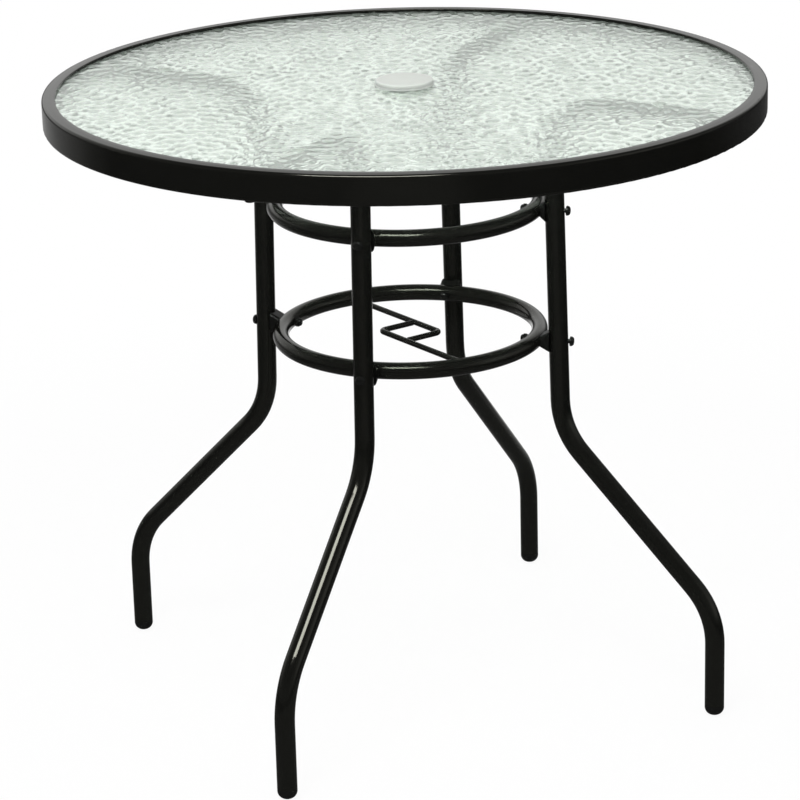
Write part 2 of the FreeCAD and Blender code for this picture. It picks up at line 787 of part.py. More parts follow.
def ring_nuts(level):
    """The four cap nuts on the inside of a ring."""
    nuts = []
    for quarter in range(4):
        nut = cap_nut("%s_nut_%s" % (level, SIDES[quarter]), "nut_grip + thread_clearance")
        place(nut, level + "_ring_radius - ring_tube_radius - nut_seat_gap", level + "_leg_y",
              level + "_ring_height", quarter, Rotation(Y_AXIS, -90))
        nuts.append(nut)
    keep(group(nuts, level + "_ring_nuts"), level + "_ring_nuts")


def rim_bolts():
    """The bolts that hold the arms' tabs to the rim's flange, heads below."""
    bolts = []
    for quarter in range(4):
        length = "rim_wall + leg_tab_thickness + nut_height + rim_bolt_end"
        bolt = dome_head("rim_bolt_" + SIDES[quarter], length,
                         "rim_bolt_head_height", "rim_bolt_head_round")
        turn = Rotation(Y_AXIS, 180)
        place(bolt, "rim_bolt_x", "rim_bolt_y", "rim_base_height", quarter, turn)
        bolts.append(bolt)
    keep(group(bolts, "rim_bolts"), "rim_bolts")


def rim_nuts():
    """The plain nuts on top of the tabs."""
    nuts = []
    for quarter in range(4):
        name = "rim_nut_" + SIDES[quarter]
        prism = primitive("Prism", name + "_flats",
                          Circumradius="nut_corner_radius", Height="nut_height")
        prism.Polygon = 6
        drill = primitive("Cylinder", name + "_bore",
                          Radius="bolt_radius + thread_clearance", Height="nut_height")
        nut = cut(prism, drill, name)
        place(nut, "rim_bolt_x", "rim_bolt_y", "flange_top + leg_tab_thickness", quarter)
        nuts.append(nut)
    keep(group(nuts, "rim_nuts"), "rim_nuts")


def pole_rod(name, half_turn):
    """A bent rod: a long arm from the ring, a square bend, a short arm to the other rod."""
    corners = (
        ("lower_ring_radius", "-pole_square_half"),
        ("-pole_square_half", "-pole_square_half"),
        ("-pole_square_half", "pole_square_half - rod_radius - weld_gap"),
    )

    def round_section(sketch):
        draw_circle(sketch, "-pole_square_half", "0", "rod_radius")

    plane = ("YZ_Plane", "lower_ring_radius")
    body = piped(name + "_wire", "XY_Plane", corners, ("rod_bend_radius",), plane, round_section)
    turn = Rotation(Z_AXIS, value("rod_angle"))
    place(body, "0", "0", "lower_ring_height - rod_drop", half_turn, turn)
    keep(cut(body, ring_torus(name + "_ring", "lower", "ring_tube_radius + weld_gap"), name), name)


def check_document():
    """Stop if any object failed or any sub-part is empty or broken."""
    faults = []
    for obj in doc.Objects:
        if "Invalid" in obj.State or "Error" in obj.State:
            faults.append("%s: %s" % (obj.Name, obj.State))
    for node in nodes:
        shape = node.Shape
        if shape.isNull() or not shape.isValid() or not shape.Solids:
            faults.append("%s: no valid solid" % node.Label)
    if faults:
        raise RuntimeError("; ".join(faults))


def write_parts():
    """Write every sub-part to its own file."""
    os.makedirs("parts", exist_ok=True)
    for node in nodes:
        node.Shape.exportStep("parts/%s.step" % node.Label)
        print("%-24s solids %d  volume %.1f" % (node.Label, len(node.Shape.Solids), node.Shape.Volume))


fill_sheet()
top_rim()
glass_top()
glass_gasket()
umbrella_collar()
umbrella_hole_cap()
for quarter in range(4):
    leg(quarter)
    foot_cap(quarter)
    glass_pad(quarter)
for level in ("upper", "lower"):
    tube_ring(level)
    for quarter in range(4):
        saddle(level, quarter)
    ring_bolts(level)
    ring_nuts(level)
rim_bolts()
rim_nuts()
pole_rod("pole_rod_one", 0)
pole_rod("pole_rod_two", 2)
doc.recompute()
check_document()
write_parts()
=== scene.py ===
# %% [markdown]
# # Dressing an umbrella table
#
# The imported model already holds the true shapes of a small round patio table: a steel rim,
# a glass disc with a capped umbrella hole, four bent tube legs and two rings that tie them.
# This lesson gives each of them its finish, and makes the one piece that a plain solid
# can't show, the rippled glass. Everything is in metres, with +Z up and the floor at zero.

# %% Load the frame
import json
import math

import bpy
import numpy as np
from mathutils import Matrix, Vector


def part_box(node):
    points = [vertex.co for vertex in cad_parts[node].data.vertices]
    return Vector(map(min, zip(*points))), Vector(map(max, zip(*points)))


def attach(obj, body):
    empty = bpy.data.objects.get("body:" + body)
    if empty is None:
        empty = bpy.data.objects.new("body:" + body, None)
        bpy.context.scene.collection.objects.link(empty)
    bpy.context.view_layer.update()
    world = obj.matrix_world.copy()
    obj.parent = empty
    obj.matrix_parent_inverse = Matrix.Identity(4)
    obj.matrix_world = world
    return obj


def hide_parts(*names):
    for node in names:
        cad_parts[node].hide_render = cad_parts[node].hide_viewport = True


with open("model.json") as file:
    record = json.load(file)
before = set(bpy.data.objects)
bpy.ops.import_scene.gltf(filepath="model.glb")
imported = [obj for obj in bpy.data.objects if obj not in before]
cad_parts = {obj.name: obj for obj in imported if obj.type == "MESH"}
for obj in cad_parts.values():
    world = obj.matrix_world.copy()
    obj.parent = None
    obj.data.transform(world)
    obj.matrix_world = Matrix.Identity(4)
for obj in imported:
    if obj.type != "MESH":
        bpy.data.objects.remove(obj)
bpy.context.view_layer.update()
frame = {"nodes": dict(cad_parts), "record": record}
nodes = frame["nodes"]
print("frame holds", len(nodes), "nodes:", ", ".join(sorted(nodes)))

# %% [markdown]
# ## Shader helpers
#
# A material is a small graph of nodes. Writing one out link by link hides what it does, so
# five short helpers carry the routine: one starts a material, one adds a node with its
# values, one joins two sockets, one feeds a socket with a number or with another socket, and
# one does a step of arithmetic. The finishes below then read as short lists of choices.

# %% Helpers for materials


def new_material(name):
    """An empty node material and its output node."""
    material = bpy.data.materials.new(name)
    material.use_nodes = True
    material.node_tree.nodes.clear()
    output = material.node_tree.nodes.new("ShaderNodeOutputMaterial")
    return material, output


def add_node(tree, kind, **values):
    """A shader node; each value sets the input of that name, with _ for spaces."""
    node = tree.nodes.new("ShaderNode" + kind)
    for name, value in values.items():
        node.inputs[name.replace("_", " ")].default_value = value
    return node


def link(tree, source, target):
    """Join an output socket to an input socket."""
    tree.links.new(source, target)


def feed(tree, value, target):
    """Set an input socket to a number, or join an output socket to it."""
    if isinstance(value, float):
        target.default_value = value
    else:
        link(tree, value, target)


def arithmetic(tree, operation, *values):
    """One step of arithmetic on numbers or sockets, such as a product or the larger of two."""
    node = add_node(tree, "Math")
    node.operation = operation
    for value, target in zip(values, node.inputs):
        feed(tree, value, target)
    return node.outputs[0]


print("material helpers: new_material, add_node, link, feed, arithmetic")

# %% [markdown]
# ## One group for every coated or moulded surface
#
# Powder coat, moulded plastic and rubber differ in colour and gloss, but they vary in the
# same three ways: a fine grain that breaks the reflection, broad soft patches where the
# surface is a little duller, and a slight drift of the colour. One node group holds all
# three, with its own values in each material, so the grain of every finish is set in
# millimetres and nothing is drawn twice.

# %% Node group: surface character
PATCHES_PER_METRE = 35.0
NOISE_MIDDLE = 0.5
SURFACE_INPUTS = (
    ("Colour", "NodeSocketColor", (0.5, 0.5, 0.5, 1.0)),
    ("Drift", "NodeSocketFloat", 0.1),
    ("Roughness", "NodeSocketFloat", 0.4),
    ("Patchiness", "NodeSocketFloat", 0.1),
    ("Grain per metre", "NodeSocketFloat", 900.0),
    ("Grain height", "NodeSocketFloat", 0.00002),
)
SURFACE_OUTPUTS = (
    ("Colour", "NodeSocketColor"),
    ("Roughness", "NodeSocketFloat"),
    ("Normal", "NodeSocketVector"),
)


def name_sockets(group):
    """Give the group its inputs, with the values they start from, and its outputs."""
    for name, kind, value in SURFACE_INPUTS:
        socket = group.interface.new_socket(name, in_out="INPUT", socket_type=kind)
        socket.default_value = value
    for name, kind in SURFACE_OUTPUTS:
        group.interface.new_socket(name, in_out="OUTPUT", socket_type=kind)


def grain_normal(group, place, inside):
    """The normal over a fine noise, as close and as high as the group's inputs say."""
    grain = add_node(group, "TexNoise", Detail=2.0)
    link(group, place, grain.inputs["Vector"])
    link(group, inside.outputs["Grain per metre"], grain.inputs["Scale"])
    bump = add_node(group, "Bump", Strength=1.0)
    link(group, grain.outputs["Fac"], bump.inputs["Height"])
    link(group, inside.outputs["Grain height"], bump.inputs["Distance"])
    return bump.outputs["Normal"]


def make_surface_group():
    """Broad noise less its middle, n: roughness + n x patchiness, colour x (1 + n x drift)."""
    group = bpy.data.node_groups.new("surface_character", "ShaderNodeTree")
    name_sockets(group)
    inside = group.nodes.new("NodeGroupInput")
    outside = group.nodes.new("NodeGroupOutput")
    place = add_node(group, "TexCoord").outputs["Object"]
    patches = add_node(group, "TexNoise", Scale=PATCHES_PER_METRE, Detail=3.0)
    link(group, place, patches.inputs["Vector"])
    centred = arithmetic(group, "SUBTRACT", patches.outputs["Fac"], NOISE_MIDDLE)

    rough = arithmetic(group, "MULTIPLY_ADD", centred, inside.outputs["Patchiness"],
                       inside.outputs["Roughness"])
    link(group, rough, outside.inputs["Roughness"])

    strength = arithmetic(group, "MULTIPLY_ADD", centred, inside.outputs["Drift"], 1.0)
    tint = add_node(group, "VectorMath")
    tint.operation = "SCALE"
    link(group, inside.outputs["Colour"], tint.inputs[0])
    link(group, strength, tint.inputs["Scale"])
    link(group, tint.outputs[0], outside.inputs["Colour"])

    link(group, grain_normal(group, place, inside), outside.inputs["Normal"])
    return group


surface_group = make_surface_group()
print("surface group has", len(surface_group.nodes), "nodes")

# %% [markdown]
# ## The opaque finishes
#
# The frame is powder coated: a thin even skin, nearly black, glossy enough to carry sharp
# highlights, with the faint orange peel of a melted powder and a slightly warm shine. The
# saddles and foot caps are moulded plastic, duller and a little grainier. The bolts have a
# thin black coat, the hub is pale satin plastic that lets some light in, the channel round
# the glass is dull, and the pads are clear rubber. Each could be a material of its own, but
# one function that fills in the group keeps the differences side by side.

# %% Opaque materials


def coated_material(name, colour, roughness, drift, patchiness, grain_per_metre, grain_height,
                    **extra):
    """A Principled surface fed by the surface group; extra values go on its own sockets."""
    material, output = new_material(name)
    tree = material.node_tree
    skin = tree.nodes.new("ShaderNodeGroup")
    skin.node_tree = surface_group
    skin.inputs["Colour"].default_value = (*colour, 1.0)
    skin.inputs["Drift"].default_value = drift
    skin.inputs["Roughness"].default_value = roughness
    skin.inputs["Patchiness"].default_value = patchiness
    skin.inputs["Grain per metre"].default_value = grain_per_metre
    skin.inputs["Grain height"].default_value = grain_height
    shader = add_node(tree, "BsdfPrincipled", **extra)
    link(tree, skin.outputs["Colour"], shader.inputs["Base Color"])
    link(tree, skin.outputs["Roughness"], shader.inputs["Roughness"])
    link(tree, skin.outputs["Normal"], shader.inputs["Normal"])
    link(tree, shader.outputs["BSDF"], output.inputs["Surface"])
    return material


finishes = {
    "black_frame": coated_material(
        "black_powder_coat", colour=(0.0058, 0.0059, 0.0052), roughness=0.125, drift=0.3,
        patchiness=0.05, grain_per_metre=700.0, grain_height=0.000006,
        Specular_IOR_Level=0.6, Specular_Tint=(1.0, 1.0, 0.86, 1.0)),
    "saddle_plastic": coated_material(
        "moulded_black_plastic", colour=(0.0060, 0.0062, 0.0056), roughness=0.30, drift=0.3,
        patchiness=0.10, grain_per_metre=1400.0, grain_height=0.00002,
        Specular_IOR_Level=0.2),
    "foot_plastic": coated_material(
        "foot_black_plastic", colour=(0.0070, 0.0072, 0.0066), roughness=0.34, drift=0.3,
        patchiness=0.12, grain_per_metre=1200.0, grain_height=0.00003,
        Specular_IOR_Level=0.3),
    "fastener": coated_material(
        "black_bolt_coat", colour=(0.0070, 0.0072, 0.0066), roughness=0.24, drift=0.4,
        patchiness=0.10, grain_per_metre=1500.0, grain_height=0.00001,
        Specular_IOR_Level=0.4),
    "hub_plastic": coated_material(
        "pale_hub_plastic", colour=(0.61, 0.64, 0.60), roughness=0.65, drift=0.05,
        patchiness=0.08, grain_per_metre=900.0, grain_height=0.00002,
        Specular_IOR_Level=0.1, Subsurface_Weight=0.8, Subsurface_Scale=0.012,
        Subsurface_Radius=(1.0, 1.0, 0.95)),
    "soft_channel": coated_material(
        "dull_channel_rubber", colour=(0.02, 0.02, 0.02), roughness=0.75, drift=0.2,
        patchiness=0.1, grain_per_metre=1100.0, grain_height=0.00003,
        Specular_IOR_Level=0.3),
    "clear_pad": coated_material(
        "clear_bumper_rubber", colour=(0.75, 0.77, 0.74), roughness=0.35, drift=0.05,
        patchiness=0.05, grain_per_metre=800.0, grain_height=0.00001,
        Specular_IOR_Level=0.45, Transmission_Weight=0.5),
}
print("opaque finishes:", ", ".join(sorted(finishes)))

# %% [markdown]
# ## A sleeve painted whiter under the glass
#
# The hub's collar goes down through the glass as a sleeve. Seen through the glass it looks
# whiter than the flange and the cap, though it lies in their shade, so the hub's colour is
# painted whiter below the height of the glass's upper face: painted light that lifts the
# shaded sleeve. A second material would need the collar cut in two, and a change with height
# needs nothing but the Object coordinates. The Mix node keeps the sockets of all its kinds of value,
# so its two colours and its result are reached by number.

# %% Sleeve colour, painted lighter against its shade
# Painted light: a whiter colour for the sleeve in place of the light it lacks in the shade of the
# flange and cap.
SLEEVE_PAINTED_LIGHT_COLOUR = (0.93, 0.93, 0.92)
COLOUR_CHANGE = 0.0005
MIX_COLOUR_BELOW = 6
MIX_COLOUR_ABOVE = 7
MIX_COLOUR_OUT = 2


def second_colour_below(material, height, colour):
    """Change a coated material's colour under a height, evenly over COLOUR_CHANGE above it."""
    tree = material.node_tree
    shader = next(node for node in tree.nodes if node.type == "BSDF_PRINCIPLED")
    skin_colour = shader.inputs["Base Color"].links[0].from_socket
    place = add_node(tree, "SeparateXYZ")
    link(tree, add_node(tree, "TexCoord").outputs["Object"], place.inputs[0])
    share = add_node(tree, "MapRange", From_Min=height, From_Max=height + COLOUR_CHANGE)
    link(tree, place.outputs["Z"], share.inputs["Value"])
    mix = tree.nodes.new("ShaderNodeMix")
    mix.data_type = "RGBA"
    link(tree, share.outputs["Result"], mix.inputs["Factor"])
    mix.inputs[MIX_COLOUR_BELOW].default_value = (*colour, 1.0)
    link(tree, skin_colour, mix.inputs[MIX_COLOUR_ABOVE])
    link(tree, mix.outputs[MIX_COLOUR_OUT], shader.inputs["Base Color"])


glass_low, glass_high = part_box("glass_top")
# Painted light: the hub is painted whiter below the glass's upper face to lift the shaded sleeve.
second_colour_below(finishes["hub_plastic"], glass_high[2], SLEEVE_PAINTED_LIGHT_COLOUR)
print("the hub is whiter below %.1f mm" % (1000 * glass_high[2]))

# %% [markdown]
# ## Glass as a material
#
# Clear glass takes its look from what it bends and mirrors. The body is a Principled shader
# that lets most light through, with a small milky share and the faint green of float glass.
# A lamp can't shine through refracting glass in a path tracer without a great many samples,
# so shadow rays see a plain tinted film in its place, and the floor under the table stays as
# bright as it really is.

# %% Glass material
GLASS_BENDING = 1.5
GLASS_ROUGHNESS = 0.03


def glass_material(name, tint, shadow_tint, clear_share):
    """Refracting glass with a milky share for the eye, a tinted film for shadow rays."""
    material, output = new_material(name)
    tree = material.node_tree
    glass = add_node(tree, "BsdfPrincipled", Base_Color=(*tint, 1.0), Roughness=GLASS_ROUGHNESS,
                     Transmission_Weight=clear_share, IOR=GLASS_BENDING)
    film = add_node(tree, "BsdfTransparent", Color=(*shadow_tint, 1.0))
    path = add_node(tree, "LightPath")
    choice = add_node(tree, "MixShader")
    link(tree, path.outputs["Is Shadow Ray"], choice.inputs[0])
    link(tree, glass.outputs["BSDF"], choice.inputs[1])
    link(tree, film.outputs["BSDF"], choice.inputs[2])
    link(tree, choice.outputs[0], output.inputs["Surface"])
    return material


finishes["rippled_glass"] = glass_material(
    "rippled_table_glass", tint=(0.91, 1.0, 0.92), shadow_tint=(0.95, 0.97, 0.96),
    clear_share=0.88)
print("glass finish:", finishes["rippled_glass"].name)

# %% [markdown]
# ## Put the finishes on the frame
#
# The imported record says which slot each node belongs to, so one loop dresses them all.

# %% Assign finishes
slot_of = {entry["node"]: entry["material_slot"] for entry in frame["record"]["subparts"]}
for name, obj in nodes.items():
    finish = finishes[slot_of[name]]
    for index in range(len(obj.material_slots)):
        obj.material_slots[index].material = finish
print("dressed", len(nodes), "nodes")

# %% [markdown]
# ## The rippled glass
#
# Patio glass is rolled with a water pattern on one face: shallow waves that never quite
# repeat, here on the upper face, about 12 mm apart one way and 19 mm the other. A texture
# would only shade them, while the real ripples bend everything seen through the top, so they
# are built as a true surface. The disc is made of rings of points, each with six more than
# the one inside it, so that its triangles are alike from the hole to the edge.
#
# First come three helpers that any such surface needs: a mesh from arrays, points round a
# circle, and the triangles between two rings.

# %% Helpers for surfaces


def make_object(name, points, faces, smooth=True):
    """A mesh object from arrays: points (n, 3) and a list of face arrays of one width each."""
    mesh = bpy.data.meshes.new(name)
    widths = np.concatenate([np.full(len(f), f.shape[1], np.int32) for f in faces])
    loops = np.concatenate([f.ravel() for f in faces]).astype(np.int32)
    mesh.vertices.add(len(points))
    mesh.vertices.foreach_set("co", np.ascontiguousarray(points, np.float32).ravel())
    mesh.loops.add(len(loops))
    mesh.loops.foreach_set("vertex_index", loops)
    mesh.polygons.add(len(widths))
    starts = np.concatenate([[0], np.cumsum(widths)[:-1]]).astype(np.int32)
    mesh.polygons.foreach_set("loop_start", starts)
    mesh.update(calc_edges=True)
    mesh.validate()
    mesh.polygons.foreach_set("use_smooth", np.full(len(widths), smooth))
    obj = bpy.data.objects.new(name, mesh)
    bpy.context.scene.collection.objects.link(obj)
    return obj


def ring_points(radius, count):
    """Points evenly round a circle: radius times cosine and sine of equal steps of a turn."""
    angle = 2 * np.pi * np.arange(count) / count
    return radius * np.cos(angle), radius * np.sin(angle)


def stitch(outer_start, outer_count, inner_start, inner_count):
    """Triangles between two rings: each step of one, with the other's point at its middle."""
    outer = np.arange(outer_count)
    inner = np.arange(inner_count)
    near_inner = np.floor((outer + 0.5) * inner_count / outer_count + 0.5).astype(int)
    near_outer = np.ceil((inner + 0.5) * outer_count / inner_count - 0.5).astype(int)
    on_outer = (outer_start + outer, outer_start + (outer + 1) % outer_count,
                inner_start + near_inner % inner_count)
    on_inner = (inner_start + (inner + 1) % inner_count, inner_start + inner,
                outer_start + near_outer % outer_count)
    return np.concatenate([np.stack(on_outer, 1), np.stack(on_inner, 1)])


print("triangles between rings of 12 and 6 points:", len(stitch(0, 12, 12, 6)))

# %% [markdown]
# ## The height of the ripples
#
# One wave is a straight swell. A sum of many, of nearly the same length and in every
# direction, gives an even chop without rows, as rolled glass has. The real pattern is drawn
# out along one direction, so the pattern is stretched that way before it is summed.

# %% Ripple heights
RIPPLE_LENGTH = 0.0118
RIPPLE_SPREAD = 0.22
RIPPLE_HEIGHT = 0.0003
RIPPLE_CREST = 1.5
RIPPLE_TROUGH = 2.2
RIPPLE_DRAW = 1.6
RIPPLE_GRAIN = math.radians(107)
RIPPLE_WAVES = 60
RIPPLE_SEED = 7


def ripple(x, y):
    """Sum of plane waves: each has its own direction, a length near RIPPLE_LENGTH and a phase."""
    rng = np.random.default_rng(RIPPLE_SEED)
    heading = rng.uniform(0, np.pi, RIPPLE_WAVES)
    length = RIPPLE_LENGTH * (1 + RIPPLE_SPREAD * rng.uniform(-1, 1, RIPPLE_WAVES))
    phase = rng.uniform(0, 2 * np.pi, RIPPLE_WAVES)
    along = (x * math.cos(RIPPLE_GRAIN) + y * math.sin(RIPPLE_GRAIN)) / RIPPLE_DRAW
    across = y * math.cos(RIPPLE_GRAIN) - x * math.sin(RIPPLE_GRAIN)
    total = np.zeros_like(x)
    for turn, wave, shift in zip(heading, length, phase):
        total += np.sin(2 * np.pi * (along * np.cos(turn) + across * np.sin(turn)) / wave + shift)
    return total * math.sqrt(2 / RIPPLE_WAVES)


sample = np.linspace(0, 0.1, 2001)
print("ripple spread on a 100 mm line: %.2f" % ripple(sample, 0 * sample).std())

# %% Upper face
glass_radius = glass_high[0]
GLASS_HOLE_RADIUS = 0.0235
RING_STEP = 0.00235
POINTS_MORE = 6
ARRIS = 0.0005
CALM_MARGIN = 0.002
CALM_WIDTH = 0.004


def calm_share(radius):
    """0 within CALM_MARGIN of the rim and of the hole, rising evenly to 1 over CALM_WIDTH."""
    from_rim = np.clip((glass_radius - CALM_MARGIN - radius) / CALM_WIDTH, 0, 1)
    from_hole = np.clip((radius - GLASS_HOLE_RADIUS - CALM_MARGIN) / CALM_WIDTH, 0, 1)
    return from_rim * from_hole


def upper_face():
    """Points, triangles and rings (start, count): ripples, clipped so that no crest stands out."""
    first = int(round(GLASS_HOLE_RADIUS / RING_STEP))
    last = int(round((glass_radius - ARRIS) / RING_STEP))
    radii = np.linspace(GLASS_HOLE_RADIUS, glass_radius - ARRIS, last - first + 1)
    counts = POINTS_MORE * np.arange(first, last + 1)
    starts = np.concatenate([[0], np.cumsum(counts)])
    ring = np.repeat(np.arange(len(counts)), counts)
    angle = 2 * np.pi * (np.arange(starts[-1]) - starts[ring]) / counts[ring]
    x = radii[ring] * np.cos(angle)
    y = radii[ring] * np.sin(angle)
    waves = np.clip(ripple(x, y), -RIPPLE_TROUGH, RIPPLE_CREST)
    still = glass_high[2] - RIPPLE_HEIGHT * RIPPLE_CREST
    z = still + calm_share(radii[ring]) * RIPPLE_HEIGHT * waves
    rings = list(zip(starts, counts))
    faces = [stitch(*outer, *inner) for inner, outer in zip(rings[:-1], rings[1:])]
    return np.stack([x, y, z], 1), faces, rings


print("glass radius %.2f mm, upper face at %.1f mm" % (1000 * glass_radius, 1000 * glass_high[2]))

# %% [markdown]
# ## The closed disc
#
# From the rim of the rippled face, rings go down the edge, with a small arris at the top and
# bottom, and in along the flat lower face to the hole. Few points are enough on a flat face,
# so each ring there has half as many as the one outside it. A narrow guard ring beside each
# corner keeps the smooth shading from bending round it. The wall of the hole closes the disc.

# %% Glass disc
GUARD = 0.0003
LOWER_RINGS = 10


def lower_loops(rim_count, hole_count):
    """The rings below the rippled face, as (radius, height, count), from the rim to the hole."""
    edge = (
        (glass_radius, glass_high[2] - ARRIS - RIPPLE_HEIGHT * RIPPLE_CREST),
        (glass_radius, glass_low[2] + ARRIS),
        (glass_radius - ARRIS, glass_low[2]),
        (glass_radius - ARRIS - GUARD, glass_low[2]),
    )
    loops = [(radius, height, rim_count) for radius, height in edge]
    radii = np.linspace(glass_radius - ARRIS - GUARD, GLASS_HOLE_RADIUS + GUARD, LOWER_RINGS)
    count = rim_count
    for radius in (*radii[1:], GLASS_HOLE_RADIUS):
        count = max(hole_count, count // 2)
        if radius < GLASS_HOLE_RADIUS + 2 * GUARD:
            count = hole_count
        loops.append((radius, glass_low[2], count))
    return loops


def make_glass():
    """The rippled face, then ring after ring stitched on, back to the face's own hole ring."""
    face_points, faces, rings = upper_face()
    hole, rim = rings[0], rings[-1]
    points = [face_points]
    loops = [rim]
    total = len(face_points)
    for radius, height, count in lower_loops(rim[1], hole[1]):
        x, y = ring_points(radius, count)
        points.append(np.stack([x, y, np.full(count, height)], 1))
        loops.append((total, count))
        total += count
    loops.append(hole)
    faces += [stitch(*lower, *upper) for upper, lower in zip(loops[:-1], loops[1:])]
    return make_object("rippled_glass_top", np.concatenate(points), [np.concatenate(faces)])


glass = make_glass()
glass.data.materials.append(finishes["rippled_glass"])
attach(glass, "table")
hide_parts("glass_top")
print("glass has", len(glass.data.polygons), "triangles")

# %% [markdown]
# ## Floor, light and background
#
# The table stands on a plain pale floor that runs off into white. The eye sees the world and
# the floor as white, directly or through the glass. Black paint is only as good as what it
# mirrors: a studio that is bright behind the subject and dim to its sides gives black tubes
# their bright edges and dark faces. So a ray that has bounced off a shiny surface sees that
# studio instead, and this light is kept apart from the lamp that lights the object.

# %% Helpers for light levels
AZIMUTH = math.radians(17.29)
TO_BACK = (-math.sin(AZIMUTH), math.cos(AZIMUTH), 0.0)
TO_RIGHT = (math.cos(AZIMUTH), math.sin(AZIMUTH), 0.0)
TO_TOP = (0.0, 0.0, 1.0)


def choose(tree, flag, if_zero, if_one):
    """One of two levels by a flag from 0 to 1; each is a number or a socket."""
    node = add_node(tree, "MapRange")
    link(tree, flag, node.inputs["Value"])
    feed(tree, if_zero, node.inputs["To Min"])
    feed(tree, if_one, node.inputs["To Max"])
    return node.outputs["Result"]


def dot_with(tree, vector, direction):
    """How far a vector reaches along a fixed direction."""
    node = add_node(tree, "VectorMath")
    node.operation = "DOT_PRODUCT"
    node.inputs[1].default_value = direction
    link(tree, vector, node.inputs[0])
    return node.outputs["Value"]


def level_curve(tree, socket, stops):
    """A smooth curve through (place, level) stops, read at a value."""
    low, high = stops[0][0], stops[-1][0]
    share = add_node(tree, "MapRange", From_Min=low, From_Max=high)
    link(tree, socket, share.inputs["Value"])
    ramp = add_node(tree, "ValToRGB")
    ramp.color_ramp.interpolation = "EASE"
    elements = ramp.color_ramp.elements
    while len(elements) < len(stops):
        elements.new(0.5)
    for element, (place, level) in zip(elements, stops):
        element.position = (place - low) / (high - low)
        element.color = (level, level, level, 1.0)
    link(tree, share.outputs["Result"], ramp.inputs["Fac"])
    return ramp.outputs["Color"]


def only_seen(tree):
    """1 on rays that only look (from the camera, a mirror or glass), 0 on rays that gather light."""
    path = add_node(tree, "LightPath").outputs
    seen = arithmetic(tree, "MAXIMUM", path["Is Camera Ray"], path["Is Glossy Ray"])
    return arithmetic(tree, "MAXIMUM", seen, path["Is Transmission Ray"])


def mirrored(tree):
    """1 once a ray has bounced off a shiny surface, also where it then passes through glass."""
    bounces = add_node(tree, "LightPath").outputs["Glossy Depth"]
    return arithmetic(tree, "MINIMUM", bounces, 1.0)


print("the way to the back of the picture is (%.3f, %.3f)" % TO_BACK[:2])

# %% [markdown]
# ## The floor
#
# A white floor that is only lit never gets as white as the paper round a product photograph,
# so near the table most of what the eye sees of it is its own white glow, and the rest is lit
# paint that takes the faint shadows. Further off it is all glow. Mirrors see it brighten
# away behind the table and dim to both sides.

# %% Floor
FLOOR_HALF = 6.0
FLOOR_GLOW = ((0.0, 0.93), (0.6, 0.93), (1.6, 1.0), (6.0, 1.0))
FLOOR_BEHIND = ((-3.0, 0.07), (0.3, 0.08), (0.8, 0.35), (1.4, 0.8), (1.9, 1.0), (6.0, 1.0))
FLOOR_ACROSS = ((-3.5, 0.1), (-2.2, 0.22), (-1.7, 0.3), (-1.0, 0.36), (-0.5, 1.0), (0.5, 1.0),
                (1.0, 0.08), (1.7, 0.05))


def mirrored_floor(tree):
    """The floor's level in mirrors: the curve to the back times the curve across."""
    place = add_node(tree, "TexCoord").outputs["Object"]
    behind = level_curve(tree, dot_with(tree, place, TO_BACK), FLOOR_BEHIND)
    across = level_curve(tree, dot_with(tree, place, TO_RIGHT), FLOOR_ACROSS)
    return arithmetic(tree, "MULTIPLY", behind, across)


def glow_share(tree):
    """The part of the floor that is its own white to the eye, by the distance from the table."""
    place = add_node(tree, "TexCoord").outputs["Object"]
    distance = add_node(tree, "VectorMath")
    distance.operation = "LENGTH"
    link(tree, place, distance.inputs[0])
    share = level_curve(tree, distance.outputs["Value"], FLOOR_GLOW)
    return arithmetic(tree, "MULTIPLY", only_seen(tree), share)


def floor_material():
    """Pale floor: mostly its own white where it is looked at, and lit paint for the shadow."""
    material, output = new_material("pale_floor")
    tree = material.node_tree
    level = choose(tree, mirrored(tree), 1.0, mirrored_floor(tree))
    paint = add_node(tree, "BsdfDiffuse")
    link(tree, level, paint.inputs["Color"])
    glow = add_node(tree, "Emission")
    link(tree, level, glow.inputs["Strength"])
    mix = add_node(tree, "MixShader")
    link(tree, glow_share(tree), mix.inputs[0])
    link(tree, paint.outputs[0], mix.inputs[1])
    link(tree, glow.outputs[0], mix.inputs[2])
    link(tree, mix.outputs[0], output.inputs["Surface"])
    return material


corner = FLOOR_HALF * np.array([[-1, -1, 0], [1, -1, 0], [1, 1, 0], [-1, 1, 0]], float)
floor = make_object("studio_floor", corner, [np.array([[0, 1, 2, 3]])], smooth=False)
floor.data.materials.append(floor_material())
print("floor is", 2 * FLOOR_HALF, "m wide")

# %% [markdown]
# ## The world
#
# The world could hold a picture of a studio, but two curves are enough: one round the table
# and one upwards, multiplied. The sweep behind the table is brightest from 7 to 28 degrees
# up, where most of the ripples mirror it. It is dark just above the floor, which a few
# slopes mirror instead, and they draw the thin dark dashes of the glass.

# %% World
AMBIENT = 0.6
SKY_ACROSS = ((-180, 0.07), (-100, 0.1), (-62, 0.35), (-42, 0.8), (-20, 0.95), (22, 0.95),
              (42, 0.12), (66, 0.2), (104, 0.45), (140, 0.12), (180, 0.07))
SKY_UPWARDS = ((-90, 0.15), (0, 0.15), (3, 0.27), (7, 0.74), (12, 0.8), (17, 0.78), (23, 0.67),
               (28, 0.58), (36, 0.45), (52, 0.1), (90, 0.08))


def in_degrees(stops):
    """Stops given in degrees, in radians."""
    return [(math.radians(place), level) for place, level in stops]


def mirrored_studio(tree):
    """The level that mirrors see: the curve of the turn from the back times that of the rise."""
    heading = add_node(tree, "TexCoord").outputs["Generated"]
    turn = arithmetic(tree, "ARCTAN2", dot_with(tree, heading, TO_RIGHT),
                      dot_with(tree, heading, TO_BACK))
    rise = arithmetic(tree, "ARCSINE", dot_with(tree, heading, TO_TOP))
    across = level_curve(tree, turn, in_degrees(SKY_ACROSS))
    upwards = level_curve(tree, rise, in_degrees(SKY_UPWARDS))
    return arithmetic(tree, "MULTIPLY", across, upwards)


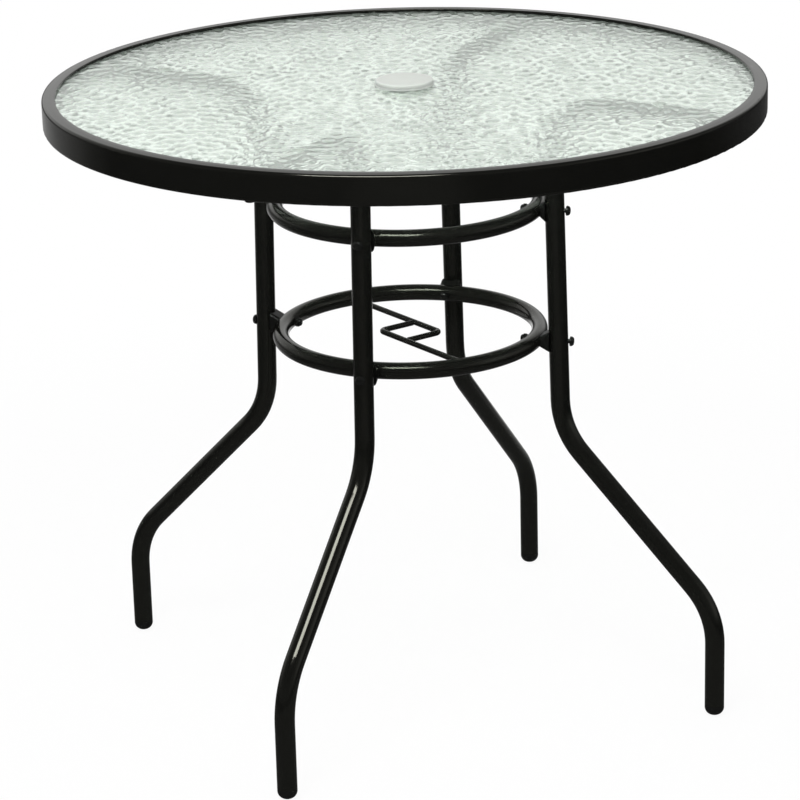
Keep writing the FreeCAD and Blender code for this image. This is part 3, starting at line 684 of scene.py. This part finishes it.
def world_level(tree):
    """Ambient for soft light, plain white for the eye and through glass, the studio in mirrors."""
    white = choose(tree, only_seen(tree), AMBIENT, 1.0)
    return choose(tree, mirrored(tree), white, mirrored_studio(tree))


def make_world():
    """A white background with the level of the world as its strength."""
    world = bpy.data.worlds.new("studio_world")
    world.use_nodes = True
    tree = world.node_tree
    tree.nodes.clear()
    output = tree.nodes.new("ShaderNodeOutputWorld")
    background = add_node(tree, "Background", Color=(1.0, 1.0, 1.0, 1.0))
    link(tree, world_level(tree), background.inputs["Strength"])
    link(tree, background.outputs[0], output.inputs["Surface"])
    return world


bpy.context.scene.world = make_world()
print("ambient level", AMBIENT)

# %% [markdown]
# ## The lamp
#
# The world's soft light fills every side alike. One soft lamp in front of the table, high up
# and a little to the camera's left, gives the highlights on the rim and on the slanting
# tubes. Its power follows from how bright its face is, so that a change of its size changes
# the width of a highlight and not its brightness.

# %% Lamp
KEY_PLACE = (0.09, -1.37, 2.4)
KEY_AIM = (0.0, 0.0, 0.45)
KEY_SIZE = (1.25, 0.7)
KEY_RADIANCE = 11.0


def area_lamp(name, place, aim, size, radiance):
    """A soft rectangular lamp, facing a point; power = radiance times pi times its area."""
    data = bpy.data.lights.new(name, "AREA")
    data.shape = "RECTANGLE"
    data.size, data.size_y = size
    data.energy = radiance * math.pi * size[0] * size[1]
    lamp = bpy.data.objects.new(name, data)
    lamp.location = place
    direction = Vector(aim) - Vector(place)
    lamp.rotation_euler = direction.to_track_quat("-Z", "Y").to_euler()
    bpy.context.scene.collection.objects.link(lamp)
    return lamp


key_lamp = area_lamp("key_softbox", KEY_PLACE, KEY_AIM, KEY_SIZE, KEY_RADIANCE)
print("key lamp: %.1f W" % key_lamp.data.energy)

# %% [markdown]
# ## Camera
#
# The view was recovered from the outline of the rim, the rings and the legs: a long lens
# from about three and a half metres, a little above the table, turned 17 degrees.

# %% Camera
ELEVATION = math.radians(18.92)
ROLL = math.radians(-1.50)
DISTANCE = 3.65525
SIDE_AIM = -0.01382
HEIGHT_AIM = 0.3358
FOCAL_PIXELS = 3195.07
FRAME_PIXELS = 800
SENSOR = 36.0
FAR_END = 50.0

back = Vector((math.sin(AZIMUTH) * math.cos(ELEVATION),
               -math.cos(AZIMUTH) * math.cos(ELEVATION), math.sin(ELEVATION)))
right = Vector(TO_RIGHT)
up = back.cross(right)
rolled_right = math.cos(ROLL) * right + math.sin(ROLL) * up
rolled_up = math.cos(ROLL) * up - math.sin(ROLL) * right
aim = Vector((0.0, 0.0, HEIGHT_AIM)) + SIDE_AIM * right
turn = Matrix((rolled_right, rolled_up, back)).transposed()
camera_data = bpy.data.cameras.new("photo_camera")
camera_data.sensor_fit = "HORIZONTAL"
camera_data.sensor_width = SENSOR
camera_data.lens = FOCAL_PIXELS * SENSOR / FRAME_PIXELS
camera_data.clip_end = FAR_END
camera = bpy.data.objects.new("photo_camera", camera_data)
camera.matrix_world = Matrix.Translation(aim + DISTANCE * back) @ turn.to_4x4()
bpy.context.scene.collection.objects.link(camera)
bpy.context.scene.camera = camera
bpy.context.scene.view_settings.view_transform = "Standard"
print("lens %.1f mm" % camera_data.lens)
